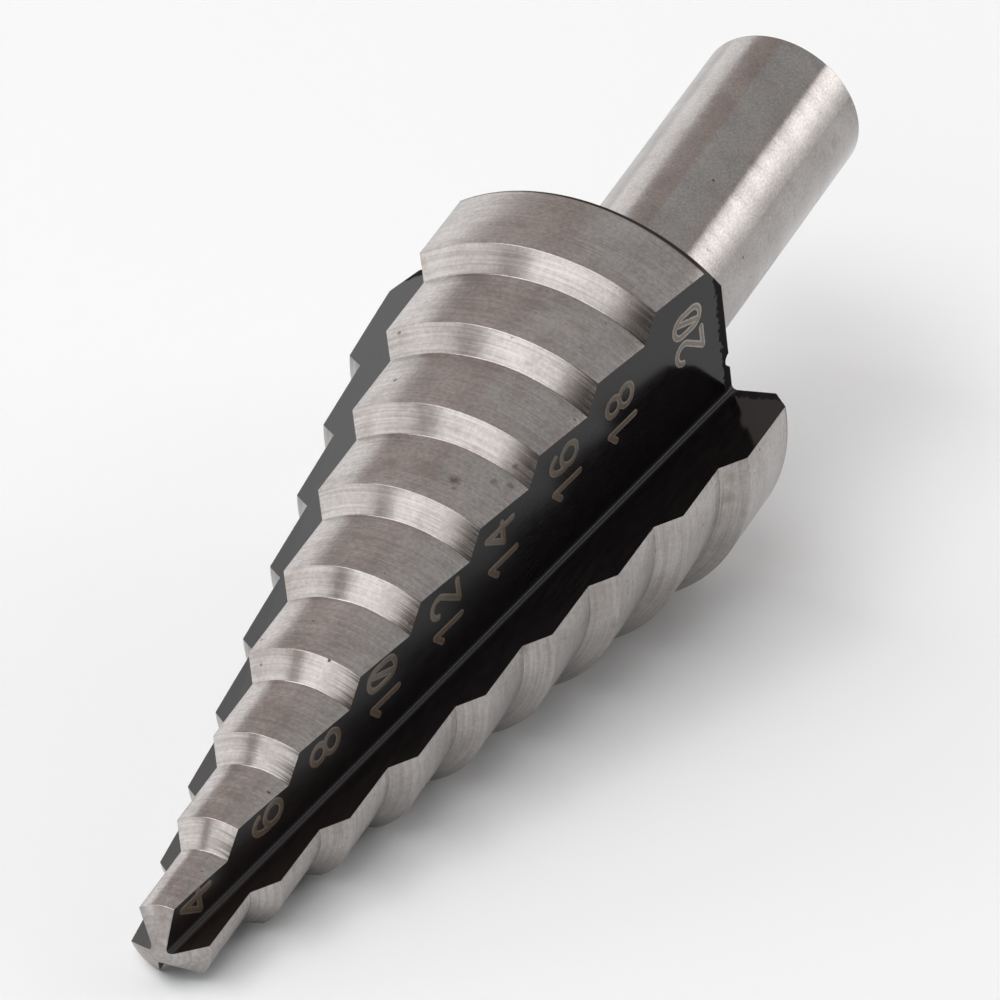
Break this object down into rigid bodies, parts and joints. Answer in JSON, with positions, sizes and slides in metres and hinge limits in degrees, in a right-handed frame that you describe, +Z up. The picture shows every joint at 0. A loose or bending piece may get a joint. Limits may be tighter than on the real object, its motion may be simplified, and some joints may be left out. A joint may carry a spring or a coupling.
{
  "type": "step drill",
  "caption": "One-piece step drill with stepped, chamfered lands, three straight V flutes, a ground point and a plain round shank.",
  "frame": {"origin": "under the middle of the bounding box, on the surface that the drill lies on", "axes": "+X from the point towards the shank along the surface, +Z up; the drill's own axis rises 10.95 degrees from +X towards +Z"},
  "size_m": [0.0634, 0.02, 0.0195],
  "materials": {
    "ground_steel": "ground and turned bright steel, with glossy black flutes"
  },
  "bodies": {
    "root": {"step_drill": "ground_steel"}
  },
  "joints": []
}
